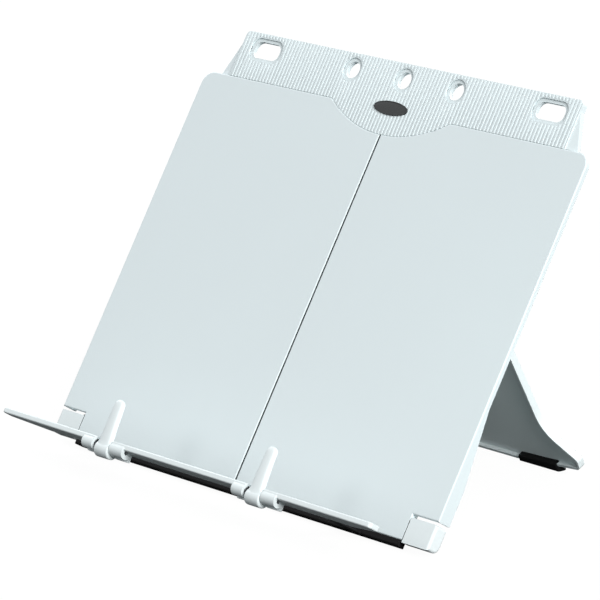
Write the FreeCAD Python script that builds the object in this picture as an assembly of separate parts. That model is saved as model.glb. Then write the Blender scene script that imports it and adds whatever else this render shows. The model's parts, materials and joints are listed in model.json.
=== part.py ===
import FreeCAD, Part
import math
import os

from FreeCAD import Vector

# Desk stand for an open book or a document, in millimetres.
# The board leans back on a folding leg, and a ledge with two page clips pulls out of its foot.
# Pieces are drawn flat on the board: x to the right, u up its face, n out of its face, and
# u = 0 is the front face's lower reference line. place() then leans them back and stands
# them on the floor, with +Z up, +Y to the rear, and the origin under the middle of the stand.

# Board
board_width = 312.0
board_height = 222.0
board_lean = 59.0          # degrees from the desk to the face
panel_thickness = 2.5
panel_gap = 1.0
panel_bottom = -4.0
panel_corner_radius = 8.0
edge_rounding = 0.8
notch_width = 20.0
notch_top = 10.9
skirt_wall = 2.0
skirt_depth_top = 3.0
skirt_depth_bottom = 9.0
skirt_deepens_from = 76.0
skirt_deepens_to = 31.0

# Dip in the top edge, where the ribbed plate shows between the panels
dip_width = 96.0
dip_depth = 14.5
dip_shoulder_radius = 6.0

# Head plate
head_rise = 28.3           # above the panels' top edge, as are the next two
hole_rise = 18.6
badge_rise = 1.2
head_overlap = 26.0        # how far the plate runs down behind the panels
head_inset = 20.0
head_hidden_inset = 16.0
head_corner_radius = 3.0
head_front = -1.0
head_back = -4.5
head_seam = 0.3
wing_reach = 8.3
wing_start = 6.0
wing_setback = 1.1
hole_pitch = 42.0
hole_radius = 5.3
hole_recess_radius = 7.2
slot_inset = 41.0
slot_length = 23.0
slot_height = 10.5
slot_corner_radius = 4.5
slot_recess_border = 1.75
recess_depth = 1.8
badge_length = 26.8
badge_width = 8.2
badge_thickness = 0.7

# Rear frame
frame_inset = 10.0
frame_sheet = 2.0
frame_depth = 9.0
frame_wall = 2.5
frame_drop = 10.0          # from the panels' top edge to the frame's
tongue_height = 26.0
rib_thickness = 2.0
rib_depth = 3.0
rib_insets = (28.0, 50.0)
cross_ribs = 3
frame_notch_gap = 4.3      # the frame's corner stays this far above the rail's block

# Screws
screw_radius = 1.3
screw_head_radius = 3.8
screw_head_height = 1.6
screw_head_rounding = 0.5
boss_radius = 3.2
screw_bite = 1.0           # plastic left over a screw's tip
inner_screw_place = 20.0
outer_screw_inset = 26.0
low_screw_row = 22.0
middle_screw_drop = 45.0   # below the leg's hinge
top_screw_drop = 20.0      # below the panels' top edge
rail_screw_place = 40.0
rail_screw_inset = 44.0
rail_screw_length = 8.0
rail_screw_head_radius = 2.0

# Foot of the board
rail_bottom = -4.2
rail_top = 4.0
rail_depth = 9.0
block_bottom = -5.2
notch_gap = 1.8
block_side_gap = 0.3
block_rounding = 1.6
block_heel_radius = 4.0
rubber_bottom = -7.8
rubber_inset = 21.0
rubber_front = -0.2
rubber_rounding = 1.2
rubber_end_rounding = 1.0
rubber_tail_radius = 7.5
rubber_fit_gap = 0.1
rest_trim = 1.3            # height taken off the rubber's corner to make a flat rest

# Slide arms, which run in slots inside the ledge
arm_inset = 56.0
arm_width = 12.0
arm_thickness = 0.8
arm_root = -6.0
arm_clearance = 0.3
arm_corner_radius = 2.0
arm_screw_spacing = 6.5
arm_screw_radius = 1.2
arm_screw_head_radius = 1.9
arm_screw_head_height = 0.6
arm_screw_length = 7.0

# Ledge
ledge_top = -5.3
ledge_thickness = 3.2
ledge_front = 43.0
ledge_depth = 17.0
ledge_inset = 3.0          # from the board's side to the ledge's tip
ledge_tip_depth = 8.0
ledge_taper = 27.0         # from the tip to where the ledge has its full depth
ledge_bend_radius = 12.0
ledge_tip_radii = (2.0, 2.5)
ledge_rounding = 0.8
ledge_nose = 1.8           # plastic left in front of the arms' slots
ledge_travel = 9.5
barrel_radius = 3.9
barrel_proud = 0.9         # how far the barrels stand past the ledge's front edge
barrel_reach = 17.2        # from a clip's middle to the far end of its barrels
barrel_wall = 1.6          # the wall behind the barrels, which hangs from the ledge
barrel_wall_bite = 0.6
barrel_wall_drop = 8.3

# Page clips
clip_spacing = 126.0
clip_width = 11.2
clip_side_gap = 0.8        # to the barrel on the clip's right
spring_gap = 3.0           # to the barrel on its left, with the spring between them
clip_base_radius = 6.2
clip_end_gap = 0.5
clip_base_rounding = 2.0
finger_top = 18.5
finger_tip_width = 7.0
finger_tip_radius = 3.2
finger_root_radius = 6.0
finger_thickness = 5.0
finger_setback = 1.8
finger_rounding = 2.2
right_clip_lean = 7.0      # degrees that the right clip leans in past the left one
clip_pin_radius = 1.5
pin_clearance = 0.05
clip_pin_inset = 0.4
spring_radius = 2.2
spring_wire = 0.6
spring_pitch = 0.8
spring_turns = 3

# Leg
hinge_drop = 59.0          # below the panels' top edge
hinge_setback = 14.5
leg_lean = 61.43           # degrees from the desk to the open leg
leg_half_width = 81.5
leg_tip_half_width = 101.5
leg_top = 8.0
leg_bend = 32.0            # this and the next three are heights above the leg's foot
leg_tip_top = 15.0
leg_tip_bottom = 8.0
leg_edge = 3.2
leg_bend_radius = 22.0
leg_tip_radius = 3.0
leg_tip_slant = 1.0
leg_edge_radius = 30.0
leg_depth = 4.5
leg_sheet = 2.0
leg_wall = 1.6
knuckle_radius = 5.0
knuckle_length = 16.0
knuckle_inset = 5.5        # from the leg's side to the knuckle
knuckle_web = 3.0
heel_thickness = 3.0
heel_gap = 0.4
lug_plate = 4.0
lug_side_gap = 0.4
lug_radius = 6.0
hinge_pin_radius = 2.0
hinge_pin_head_radius = 3.4
hinge_pin_head_height = 1.2

# Rubber feet of the leg
foot_length = 36.0
foot_inset = 15.5          # from the leg's widest point to the foot's outer end
foot_top = 10.5
foot_overhang = 3.0
foot_proud = 0.5
foot_corner_radius = 2.0
foot_rounding = 1.5

board_half = board_width / 2
notch_x = board_half - notch_width
block_top = notch_top - notch_gap
block_start = notch_x + block_side_gap
head_top = board_height + head_rise
head_half_width = board_half - head_inset
head_hidden_half_width = board_half - head_hidden_inset
head_bottom = board_height - head_overlap
hole_height = board_height + hole_rise
badge_height = board_height + badge_rise
slot_place = board_half - slot_inset
dip_radius = (dip_width ** 2 / 4 + dip_depth ** 2) / (2 * dip_depth)
dip_centre = board_height - dip_depth + dip_radius
frame_half = board_half - frame_inset
frame_back = -frame_depth
sheet_back = -panel_thickness - frame_sheet
tongue_back = head_back - frame_sheet
frame_top = board_height - frame_drop
tongue_bottom = frame_top - tongue_height
hinge_height = board_height - hinge_drop
knuckle_place = leg_half_width - knuckle_inset - knuckle_length / 2
lug_inner = knuckle_place - knuckle_length / 2 - lug_side_gap
lug_outer = knuckle_place + knuckle_length / 2 + lug_side_gap
foot_outer = leg_tip_half_width - foot_inset
foot_inner = foot_outer - foot_length
ledge_half = board_half - ledge_inset
ledge_bottom = ledge_top - ledge_thickness
arm_x = board_half - arm_inset
arm_top = (ledge_top + ledge_bottom + arm_thickness) / 2
arm_bottom = arm_top - arm_thickness
slot_end = ledge_front - ledge_nose
arm_reach = slot_end - arm_clearance - ledge_travel
clip_x = clip_spacing / 2
barrel_u = ledge_top - barrel_radius
barrel_n = ledge_front + barrel_proud - barrel_radius
barrel_back = barrel_n - barrel_radius
left_barrel = (-barrel_reach, -clip_width / 2 - spring_gap)
right_barrel = (clip_width / 2 + clip_side_gap, barrel_reach)
seat_back = barrel_n - clip_base_radius - clip_end_gap
finger_front = barrel_n + clip_base_radius - finger_setback
lean = math.radians(board_lean)
floor_level = rubber_bottom * math.sin(lean) - rail_depth * math.cos(lean) + rest_trim
hinge_level = hinge_height * math.sin(lean) - hinge_setback * math.cos(lean)
leg_length = (hinge_level - floor_level) / math.sin(math.radians(leg_lean))
fold_angle = 180.0 - board_lean - leg_lean
through = 2.0              # how far a cutter runs past the face that it cuts


def slab(x, u, n):
    """A box from three (low, high) pairs."""
    corner = Vector(x[0], u[0], n[0])
    return Part.makeBox(x[1] - x[0], u[1] - u[0], n[1] - n[0], corner)


def rod(x, u, n, radius):
    """A round bar along the board's width."""
    return Part.makeCylinder(radius, x[1] - x[0], Vector(x[0], u, n), Vector(1, 0, 0))


def post(x, u, n, radius):
    """A round bar square to the board's face."""
    return Part.makeCylinder(radius, n[1] - n[0], Vector(x, u, n[0]), Vector(0, 0, 1))


def upright(x, u, n, radius):
    """A round bar that runs up the board."""
    return Part.makeCylinder(radius, u[1] - u[0], Vector(x, u[0], n), Vector(0, 1, 0))


def outline(corners, spot):
    """A closed face from (a, b, corner radius) triples, put in space by spot(a, b)."""
    edges = []
    start = None
    last = None
    count = len(corners)
    for i in range(count):
        a, b, radius = corners[i]
        here = Vector(a, b, 0)
        back = Vector(corners[i - 1][0], corners[i - 1][1], 0) - here
        ahead = Vector(corners[(i + 1) % count][0], corners[(i + 1) % count][1], 0) - here
        back.normalize()
        ahead.normalize()
        half = back.getAngle(ahead) / 2
        enter = here + back * (radius / math.tan(half))
        leave = here + ahead * (radius / math.tan(half))
        if last is None:
            start = enter
        elif last.distanceToPoint(enter) > 1e-6:
            edges.append(Part.makeLine(spot(last.x, last.y), spot(enter.x, enter.y)))
        if radius > 0:
            middle = back + ahead
            middle.normalize()
            middle = here + middle * (radius / math.sin(half) - radius)
            arc = Part.Arc(spot(enter.x, enter.y), spot(middle.x, middle.y), spot(leave.x, leave.y))
            edges.append(arc.toShape())
        last = leave
    edges.append(Part.makeLine(spot(last.x, last.y), spot(start.x, start.y)))
    return Part.Face(Part.Wire(edges))


def face_prism(corners, n):
    """An outline of (x, u, radius) corners, extruded square to the board's face."""
    face = outline(corners, lambda x, u: Vector(x, u, n[0]))
    return face.extrude(Vector(0, 0, n[1] - n[0]))


def side_prism(corners, x):
    """An outline of (u, n, radius) corners, extruded along the board's width."""
    face = outline(corners, lambda u, n: Vector(x[0], u, n))
    return face.extrude(Vector(x[1] - x[0], 0, 0))


def plan_prism(corners, u):
    """An outline of (x, n, radius) corners, extruded up the board."""
    face = outline(corners, lambda x, n: Vector(x, u[0], n))
    return face.extrude(Vector(0, u[1] - u[0], 0))


def mirrored(shape):
    return shape.mirror(Vector(0, 0, 0), Vector(1, 0, 0))


def both_sides(shape):
    return [shape, mirrored(shape)]


def joined(shapes):
    return shapes[0].fuse(shapes[1:]).removeSplitter()


def rounded(shape, radius, chosen):
    """The shape with each edge that chosen(edge) picks rounded."""
    return shape.makeFillet(radius, [edge for edge in shape.Edges if chosen(edge)])


def lies_at(edge, x=None, u=None, n=None):
    """True when every end of the edge has the stated coordinates."""
    for vertex in edge.Vertexes:
        point = vertex.Point
        for value, wanted in ((point.x, x), (point.y, u), (point.z, n)):
            if wanted is not None and abs(value - wanted) > 1e-4:
                return False
    return True


def panel_field(inner_x, grow, n):
    """The ground that the right panel covers, grown at its top edge by grow."""
    top = board_height + grow
    radius = dip_radius - grow
    corners = [
        (inner_x, panel_bottom, 0),
        (notch_x, panel_bottom, 0),
        (notch_x, notch_top, 0),
        (board_half, notch_top, 0),
        (board_half, top, panel_corner_radius),
        (inner_x, top, 0),
    ]
    field = face_prism(corners, n)
    field = field.cut(post(0, dip_centre, (n[0] - through, n[1] + through), radius))
    shoulder_x = math.sqrt(radius ** 2 - (dip_centre - top) ** 2)
    shoulder = dip_shoulder_radius - grow
    return rounded(field, shoulder, lambda edge: lies_at(edge, x=shoulder_x, u=top))


def screw_spots():
    """Each panel screw's x, u and the depth that its head seats at."""
    spots = []
    for x in (inner_screw_place, board_half - outer_screw_inset):
        for side in (1, -1):
            for u in (low_screw_row, hinge_height - middle_screw_drop):
                spots.append((side * x, u, sheet_back))
            spots.append((side * x, board_height - top_screw_drop, tongue_back))
    return spots


def make_panel():
    """Right panel: a flat sheet with a side skirt that deepens towards its foot."""
    panel = panel_field(panel_gap / 2, 0, (-panel_thickness, 0))
    profile = [
        (notch_top, 0, 0),
        (board_height, 0, 0),
        (board_height, -skirt_depth_top, 0),
        (skirt_deepens_from, -skirt_depth_top, 0),
        (skirt_deepens_to, -skirt_depth_bottom, 0),
        (notch_top, -skirt_depth_bottom, 0),
    ]
    skirt = side_prism(profile, (board_half - skirt_wall, board_half))
    skirt = skirt.common(panel_field(panel_gap / 2, 0, (-skirt_depth_bottom, 0)))
    panel = panel.fuse(skirt).removeSplitter()
    panel = rounded(panel, edge_rounding, lambda edge: lies_at(edge, n=0))
    bosses = []
    pilots = []
    for x, u, seat in screw_spots():
        if x > 0:
            bosses.append(post(x, u, (seat, -panel_thickness), boss_radius))
            pilots.append(post(x, u, (seat, -screw_bite), screw_radius))
    return panel.fuse(bosses).removeSplitter().cut(pilots)


def rounded_slot(x, length, height, radius, n):
    corners = [
        (x - length / 2, hole_height - height / 2, radius),
        (x + length / 2, hole_height - height / 2, radius),
        (x + length / 2, hole_height + height / 2, radius),
        (x - length / 2, hole_height + height / 2, radius),
    ]
    return face_prism(corners, n)


def make_head_plate():
    """Ribbed plate above the panels, with three round holes and two slots."""
    wing_x = head_half_width + wing_reach
    wing_top = head_top - wing_start
    corners = [
        (head_hidden_half_width, head_bottom, 0),
        (head_hidden_half_width, board_height, 0),
        (wing_x, board_height, 0),
        (head_half_width, wing_top, 0),
        (head_half_width, head_top, head_corner_radius),
    ]
    corners = corners + [(-x, u, r) for x, u, r in reversed(corners)]
    plate = face_prism(corners, (head_back, head_front))
    wing = [
        (head_half_width, head_front, 0),
        (wing_x + through, head_front, 0),
        (wing_x + through, head_front - wing_setback * (1 + through / wing_reach), 0),
    ]
    face = outline(wing, lambda x, n: Vector(x, head_bottom, n))
    plate = plate.cut(both_sides(face.extrude(Vector(0, head_top - head_bottom, 0))))
    field_reach = (-panel_thickness, head_front + through)
    plate = plate.cut(both_sides(panel_field(-panel_gap, head_seam, field_reach)))
    deep = (head_back - through, head_front + through)
    shallow = (head_front - recess_depth, head_front + through)
    for x in (-hole_pitch, 0, hole_pitch):
        plate = plate.cut(post(x, hole_height, deep, hole_radius))
        plate = plate.cut(post(x, hole_height, shallow, hole_recess_radius))
    for x in (-slot_place, slot_place):
        plate = plate.cut(rounded_slot(x, slot_length, slot_height, slot_corner_radius, deep))
        border = 2 * slot_recess_border
        corner = slot_corner_radius + slot_recess_border
        plate = plate.cut(rounded_slot(x, slot_length + border, slot_height + border, corner, shallow))
    for x, u, seat in screw_spots():
        if seat == tongue_back:
            plate = plate.cut(post(x, u, deep, boss_radius))
    return plate


def make_badge():
    """A bare oval plate on the ribs."""
    centre = Vector(0, badge_height, head_front)
    far_end = centre + Vector(badge_length / 2, 0, 0)
    far_side = centre + Vector(0, badge_width / 2, 0)
    oval = Part.Ellipse(far_end, far_side, centre)
    face = Part.Face(Part.Wire([oval.toShape()]))
    return face.extrude(Vector(0, 0, badge_thickness))


def hinge_lugs():
    """The two lug pairs on the rear frame that carry the leg's hinge pins."""
    lugs = []
    for x in ((lug_inner - lug_plate, lug_inner), (lug_outer, lug_outer + lug_plate)):
        u = (hinge_height - lug_radius, hinge_height + lug_radius)
        lugs.append(slab(x, u, (-hinge_setback, sheet_back)))
        lugs.append(rod(x, hinge_height, -hinge_setback, lug_radius))
    return lugs + [mirrored(lug) for lug in lugs]


def hinge_bores():
    reach = lug_outer + lug_plate + through
    bore = rod((0, reach), hinge_height, -hinge_setback, hinge_pin_radius)
    return both_sides(bore)


def make_rear_frame():
    """Moulded frame behind the panels: a sheet, side walls, ribs, and the hinge lugs."""
    low = rail_top
    sheet = slab((-frame_half, frame_half), (low, head_bottom), (sheet_back, -panel_thickness))
    tongue = slab((-frame_half, frame_half), (tongue_bottom, frame_top), (tongue_back, head_back))
    outer = slab((-frame_half, frame_half), (low, frame_top), (frame_back, sheet_back))
    hollow = slab(
        (frame_wall - frame_half, frame_half - frame_wall),
        (low + frame_wall, frame_top - frame_wall),
        (frame_back - through, sheet_back + through),
    )
    pieces = [sheet, tongue, outer.cut(hollow)]
    rib_back = sheet_back - rib_depth
    for inset in rib_insets:
        x = frame_half - inset
        rib = slab((x, x + rib_thickness), (low + frame_wall, tongue_bottom), (rib_back, sheet_back))
        pieces.extend(both_sides(rib))
    for i in range(cross_ribs):
        u = tongue_bottom * (i + 1) / (cross_ribs + 1)
        x = (frame_wall - frame_half, frame_half - frame_wall)
        pieces.append(slab(x, (u, u + rib_thickness), (rib_back, sheet_back)))
    frame = joined(pieces + hinge_lugs()).cut(hinge_bores())
    corner_x = (notch_x - rubber_fit_gap, board_half)
    corner_u = (low - through, block_top + frame_notch_gap)
    cutters = both_sides(slab(corner_x, corner_u, (-2 * frame_depth, 0)))
    for x, u, seat in screw_spots():
        cutters.append(post(x, u, (seat, 0), boss_radius))
        cutters.append(post(x, u, (frame_back - through, seat), screw_head_radius))
    for x, u in rail_screw_spots():
        cutters.append(upright(x, (low - through, low + frame_wall + through), u, screw_radius))
    return frame.cut(cutters)


def make_panel_screws():
    screws = []
    for x, u, seat in screw_spots():
        shank = post(x, u, (seat, -screw_bite), screw_radius)
        head = post(x, u, (seat - screw_head_height, seat), screw_head_radius)
        head = rounded(head, screw_head_rounding, lambda edge: lies_at(edge, n=seat - screw_head_height))
        screws.append(shank.fuse(head).removeSplitter())
    return Part.makeCompound(screws)


def rail_screw_spots():
    """x and n of the screws that hold the base rail under the rear frame."""
    n = (sheet_back + frame_back) / 2
    return [(side * x, n) for x in (rail_screw_place, board_half - rail_screw_inset) for side in (1, -1)]


def make_rail_screws():
    screws = []
    for x, n in rail_screw_spots():
        seat = rail_top + frame_wall
        shank = upright(x, (seat - rail_screw_length, seat), n, screw_radius)
        head = upright(x, (seat, seat + screw_head_height), n, rail_screw_head_radius)
        screws.append(shank.fuse(head).removeSplitter())
    return Part.makeCompound(screws)


def arm_screw_spots():
    """x and n of the screws that hold the slide arms under the base rail."""
    n = (arm_root - panel_thickness) / 2
    offsets = (-arm_screw_spacing / 2, arm_screw_spacing / 2)
    return [(side * arm_x + offset, n) for side in (1, -1) for offset in offsets]


def make_arm_screws():
    screws = []
    for x, n in arm_screw_spots():
        shank = upright(x, (arm_bottom, arm_bottom + arm_screw_length), n, arm_screw_radius)
        seat = Vector(x, arm_bottom, n)
        up = Vector(0, 1, 0)
        head = Part.makeCone(arm_screw_head_radius, arm_screw_radius, arm_screw_head_height, seat, up)
        screws.append(shank.fuse(head).removeSplitter())
    return Part.makeCompound(screws)


def make_base_rail():
    """Rail under the panels, with a corner block in each notch and pads for the slide arms."""
    rail = slab((-board_half, board_half), (rail_bottom, rail_top), (-rail_depth, -panel_thickness))
    block = slab((block_start, board_half), (block_bottom, block_top), (-rail_depth, 0))
    block = rounded(block, block_heel_radius, lambda edge: lies_at(edge, u=block_bottom, n=-rail_depth))
    outer = (edge for edge in block.Edges if lies_at(edge, x=board_half))
    block = block.makeFillet(block_rounding, [edge for edge in outer if not lies_at(edge, n=-rail_depth)])
    corner = slab((block_start, board_half), (rail_bottom, rail_top), (-rail_depth, 0))
    pieces = [rail.cut(both_sides(corner))] + both_sides(block)
    for x in (-arm_x, arm_x):
        span = (x - arm_width / 2, x + arm_width / 2)
        pieces.append(slab(span, (arm_top, rail_bottom), (arm_root, -panel_thickness)))
    rail = joined(pieces)
    cutters = [make_arm_screws()]
    for x, n in rail_screw_spots():
        cutters.append(upright(x, (rail_top + frame_wall - rail_screw_length, rail_top), n, screw_radius))
    return rail.cut(cutters)


def make_rubber_bar():
    """Rubber strip along the foot of the board, which stands on the desk."""
    half = board_half - rubber_inset
    profile = [
        (rail_bottom, rubber_front, 0),
        (rail_bottom, -rail_depth, 0),
        (rubber_bottom, -rail_depth, 0),
        (rubber_bottom, rubber_front, rubber_rounding),
    ]
    corners = [(half, rubber_front, rubber_end_rounding), (half, -rail_depth, rubber_tail_radius)]
    corners = corners + [(-x, n, r) for x, n, r in reversed(corners)]
    ends = plan_prism(corners, (rubber_bottom, rail_bottom))
    bar = side_prism(profile, (-half, half)).common(ends)
    side = rubber_fit_gap
    for x in (-arm_x, arm_x):
        span = (x - arm_width / 2 - side, x + arm_width / 2 + side)
        pad = slab(span, (arm_bottom - through, rail_bottom), (arm_root - side, -panel_thickness + side))
        arm = slab(span, (arm_bottom - through, arm_top + side), (arm_root - side, rubber_front + through))
        bar = bar.cut([pad, arm])
    return bar


def make_slide_arm(x):
    """Flat steel arm, screwed under the base rail, that the ledge slides on."""
    corners = [
        (x - arm_width / 2, arm_root, 0),
        (x + arm_width / 2, arm_root, 0),
        (x + arm_width / 2, arm_reach, arm_corner_radius),
        (x - arm_width / 2, arm_reach, arm_corner_radius),
    ]
    return plan_prism(corners, (arm_bottom, arm_top)).cut(make_arm_screws())


def ledge_plate():
    """The ledge's shelf: full depth along its middle, tapering to its rounded tips."""
    back = ledge_front - ledge_depth
    corners = [
        (ledge_half, ledge_front, ledge_tip_radii[0]),
        (ledge_half, ledge_front - ledge_tip_depth, ledge_tip_radii[1]),
        (ledge_half - ledge_taper, back, ledge_bend_radius),
    ]
    corners = corners + [(-x, n, r) for x, n, r in reversed(corners)]
    plate = plan_prism(corners, (ledge_bottom, ledge_top))
    front = [edge for edge in plate.Edges if lies_at(edge, n=ledge_front) and edge.Length > clip_spacing]
    return plate.makeFillet(ledge_rounding, front)


def make_ledge():
    """Pull-out ledge in one moulding: a slot for each arm, and barrels for each clip's pin."""
    ledge = ledge_plate()
    barrels = []
    bores = []
    for x in (-clip_x, clip_x):
        seat = (x + left_barrel[1], x + right_barrel[0])
        under = barrel_u - clip_base_radius - through
        ledge = ledge.cut(slab(seat, (under, ledge_top + through), (seat_back, ledge_front + through)))
        for ends in (left_barrel, right_barrel):
            ends = (x + ends[0], x + ends[1])
            barrels.append(rod(ends, barrel_u, barrel_n, barrel_radius))
            hung = (ledge_top - barrel_wall_drop, ledge_bottom)
            wall_front = barrel_back + barrel_wall_bite
            barrels.append(slab(ends, hung, (wall_front - barrel_wall, wall_front)))
            bores.append(rod(ends, barrel_u, barrel_n, clip_pin_radius))
    ledge = joined([ledge] + barrels).cut(bores)
    for x in (-arm_x, arm_x):
        half = arm_width / 2 + arm_clearance
        tall = (arm_bottom - arm_clearance, arm_top + arm_clearance)
        ledge = ledge.cut(slab((x - half, x + half), tall, (arm_root, slot_end)))
    return ledge


def make_clip(x, lean_in):
    """Page clip: a round base on the hinge pin, and a crowned finger that holds the page."""
    half = clip_width / 2
    base = rod((x - half, x + half), barrel_u, barrel_n, clip_base_radius)
    base = rounded(base, clip_base_rounding, lambda edge: edge.Closed)
    tip = finger_tip_width / 2
    corners = [
        (x - half, barrel_u, 0),
        (x + half, barrel_u, 0),
        (x + half, ledge_top, finger_root_radius),
        (x + tip, finger_top, finger_tip_radius),
        (x - tip, finger_top, finger_tip_radius),
        (x - half, ledge_top, finger_root_radius),
    ]
    finger = face_prism(corners, (finger_front - finger_thickness, finger_front))
    front = (edge for edge in finger.Edges if lies_at(edge, n=finger_front))
    finger = finger.makeFillet(finger_rounding, [edge for edge in front if not lies_at(edge, u=barrel_u)])
    clip = base.fuse(finger).removeSplitter()
    reach = half + through
    clip = clip.cut(rod((x - reach, x + reach), barrel_u, barrel_n, clip_pin_radius + pin_clearance))
    clip.rotate(Vector(x, barrel_u, barrel_n), Vector(1, 0, 0), -lean_in)
    return clip


def make_clip_pin(x):
    reach = barrel_reach - clip_pin_inset
    return rod((x - reach, x + reach), barrel_u, barrel_n, clip_pin_radius)


def make_clip_spring(x):
    """Turns of the clip's torsion spring, as plain rings on the pin in the gap on the clip's left."""
    middle = x - (clip_width + spring_gap) / 2
    first = middle - spring_pitch * (spring_turns - 1) / 2
    turns = []
    for index in range(spring_turns):
        turn = Part.makeTorus(spring_radius, spring_wire / 2, Vector(0, 0, 0), Vector(1, 0, 0))
        turn.translate(Vector(first + spring_pitch * index, barrel_u, barrel_n))
        turns.append(turn)
    return Part.makeCompound(turns)


def leg_outline():
    """Right and left edges of the leg, as it lies folded: x and u from the hinge."""
    corners = [
        (leg_half_width, -leg_top, leg_tip_radius),
        (leg_half_width, leg_bend - leg_length, leg_bend_radius),
        (leg_tip_half_width, leg_tip_top - leg_length, leg_tip_radius),
        (leg_tip_half_width - leg_tip_slant, leg_tip_bottom - leg_length, leg_tip_radius),
        (foot_inner, leg_edge - leg_length, leg_edge_radius),
    ]
    return corners + [(-x, u, r) for x, u, r in reversed(corners)]


def leg_to_board(shape):
    """Moves a shape that is drawn about the hinge to the open leg's place."""
    shape.rotate(Vector(0, 0, 0), Vector(1, 0, 0), fold_angle)
    shape.translate(Vector(0, hinge_height, -hinge_setback))
    return shape


def leg_tray():
    face = outline(leg_outline(), lambda x, u: Vector(x, u, 0))
    tray = face.extrude(Vector(0, 0, leg_depth))
    pocket = face.makeOffset2D(-leg_wall)
    pocket.translate(Vector(0, 0, leg_sheet))
    return tray.cut(pocket.extrude(Vector(0, 0, leg_depth)))


def make_leg():
    """Leg, drawn folded about its hinge: a shallow tray with two hinge knuckles."""
    pieces = [leg_tray()]
    reach = math.radians(fold_angle)
    rise = hinge_setback + sheet_back - heel_gap
    heel = (rise - heel_thickness * math.cos(reach)) / math.sin(reach)
    for side in (1, -1):
        middle = side * knuckle_place
        x = (middle - knuckle_length / 2, middle + knuckle_length / 2)
        pieces.append(rod(x, 0, 0, knuckle_radius))
        pieces.append(slab(x, (-leg_top - leg_wall, 0), (-knuckle_web, leg_depth)))
        pieces.append(slab(x, (0, heel), (0, heel_thickness)))
    leg = joined(pieces)
    bore = rod((-lug_outer, lug_outer), 0, 0, hinge_pin_radius + pin_clearance)
    return leg.cut(bore)


def make_foot():
    """Rubber pad, drawn with the leg, that wraps the right corner of its lower edge."""
    corners = [
        (foot_inner, foot_top - leg_length, foot_corner_radius),
        (foot_inner, -leg_length - foot_overhang, foot_corner_radius),
        (foot_outer, -leg_length - foot_overhang, foot_corner_radius),
        (foot_outer, foot_top - leg_length, foot_corner_radius),
    ]
    pad = face_prism(corners, (0, leg_depth + foot_proud))
    pad = rounded(pad, foot_rounding, lambda edge: lies_at(edge, u=-leg_length - foot_overhang))
    return pad.cut(leg_tray())


def make_hinge_pin():
    inner = lug_inner - lug_plate
    outer = lug_outer + lug_plate
    shank = rod((inner, outer), hinge_height, -hinge_setback, hinge_pin_radius)
    head = rod((inner - hinge_pin_head_height, inner), hinge_height, -hinge_setback, hinge_pin_head_radius)
    return shank.fuse(head).removeSplitter()


def floor_block():
    """The desk, as a block whose top face is the level that the stand rests on."""
    size = 4 * board_width
    return Part.makeBox(size, size, size, Vector(-size / 2, -size / 2, floor_level - size))


def make_pieces():
    """Every piece by name, leaned back and trimmed level where it rests on the desk."""
    panel = make_panel()
    pieces = {
        "right_panel": panel,
        "left_panel": mirrored(panel),
        "head_plate": make_head_plate(),
        "badge": make_badge(),
        "rear_frame": make_rear_frame(),
        "panel_screws": make_panel_screws(),
        "base_rail": make_base_rail(),
        "rail_screws": make_rail_screws(),
        "front_rubber_bar": make_rubber_bar(),
        "arm_screws": make_arm_screws(),
        "ledge": make_ledge(),
        "leg": leg_to_board(make_leg()),
    }
    foot = leg_to_board(make_foot())
    pin = make_hinge_pin()
    pieces["right_foot"] = foot
    pieces["left_foot"] = mirrored(foot)
    pieces["right_hinge_pin"] = pin
    pieces["left_hinge_pin"] = mirrored(pin)
    pieces["left_slide_arm"] = make_slide_arm(-arm_x)
    pieces["right_slide_arm"] = make_slide_arm(arm_x)
    for side, x, lean_in in (("left", -clip_x, 0.0), ("right", clip_x, right_clip_lean)):
        pieces[side + "_clip"] = make_clip(x, lean_in)
        pieces[side + "_clip_pin"] = make_clip_pin(x)
        pieces[side + "_clip_spring"] = make_clip_spring(x)
    for shape in pieces.values():
        shape.rotate(Vector(0, 0, 0), Vector(1, 0, 0), board_lean)
    for name in ("front_rubber_bar", "left_foot", "right_foot"):
        pieces[name] = pieces[name].cut(floor_block())
    return pieces


def main():
    os.makedirs("parts", exist_ok=True)
    pieces = make_pieces()
    box = Part.makeCompound(list(pieces.values())).optimalBoundingBox()
    shift = Vector(-box.Center.x, -box.Center.y, -floor_level)
    for name, shape in pieces.items():
        shape.translate(shift)
        shape.exportStep(os.path.join("parts", name + ".step"))
        print(name, shape.ShapeType, len(shape.Solids), round(shape.Volume, 1), shape.isValid())
    print("origin shift", [round(value, 4) for value in shift], "fold", round(fold_angle, 3))


main()
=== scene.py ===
import json
import math

import bmesh
import bpy
from mathutils import Matrix, Vector


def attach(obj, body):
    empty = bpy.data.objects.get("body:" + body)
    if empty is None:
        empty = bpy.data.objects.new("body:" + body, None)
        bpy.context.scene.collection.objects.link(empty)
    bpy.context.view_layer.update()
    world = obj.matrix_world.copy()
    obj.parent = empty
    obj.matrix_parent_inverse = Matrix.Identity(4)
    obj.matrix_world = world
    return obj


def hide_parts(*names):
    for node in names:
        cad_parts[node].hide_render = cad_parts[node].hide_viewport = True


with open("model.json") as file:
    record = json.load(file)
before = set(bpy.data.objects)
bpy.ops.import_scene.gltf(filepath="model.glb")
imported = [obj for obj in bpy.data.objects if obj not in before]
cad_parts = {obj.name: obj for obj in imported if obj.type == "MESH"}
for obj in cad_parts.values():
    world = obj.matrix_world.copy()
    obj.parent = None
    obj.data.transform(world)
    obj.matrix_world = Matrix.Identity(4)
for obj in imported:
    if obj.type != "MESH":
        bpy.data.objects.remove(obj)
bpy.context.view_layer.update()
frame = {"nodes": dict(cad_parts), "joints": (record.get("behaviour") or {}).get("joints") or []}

nodes = frame["nodes"]
joints = {joint["name"]: joint for joint in frame["joints"]}


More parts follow.
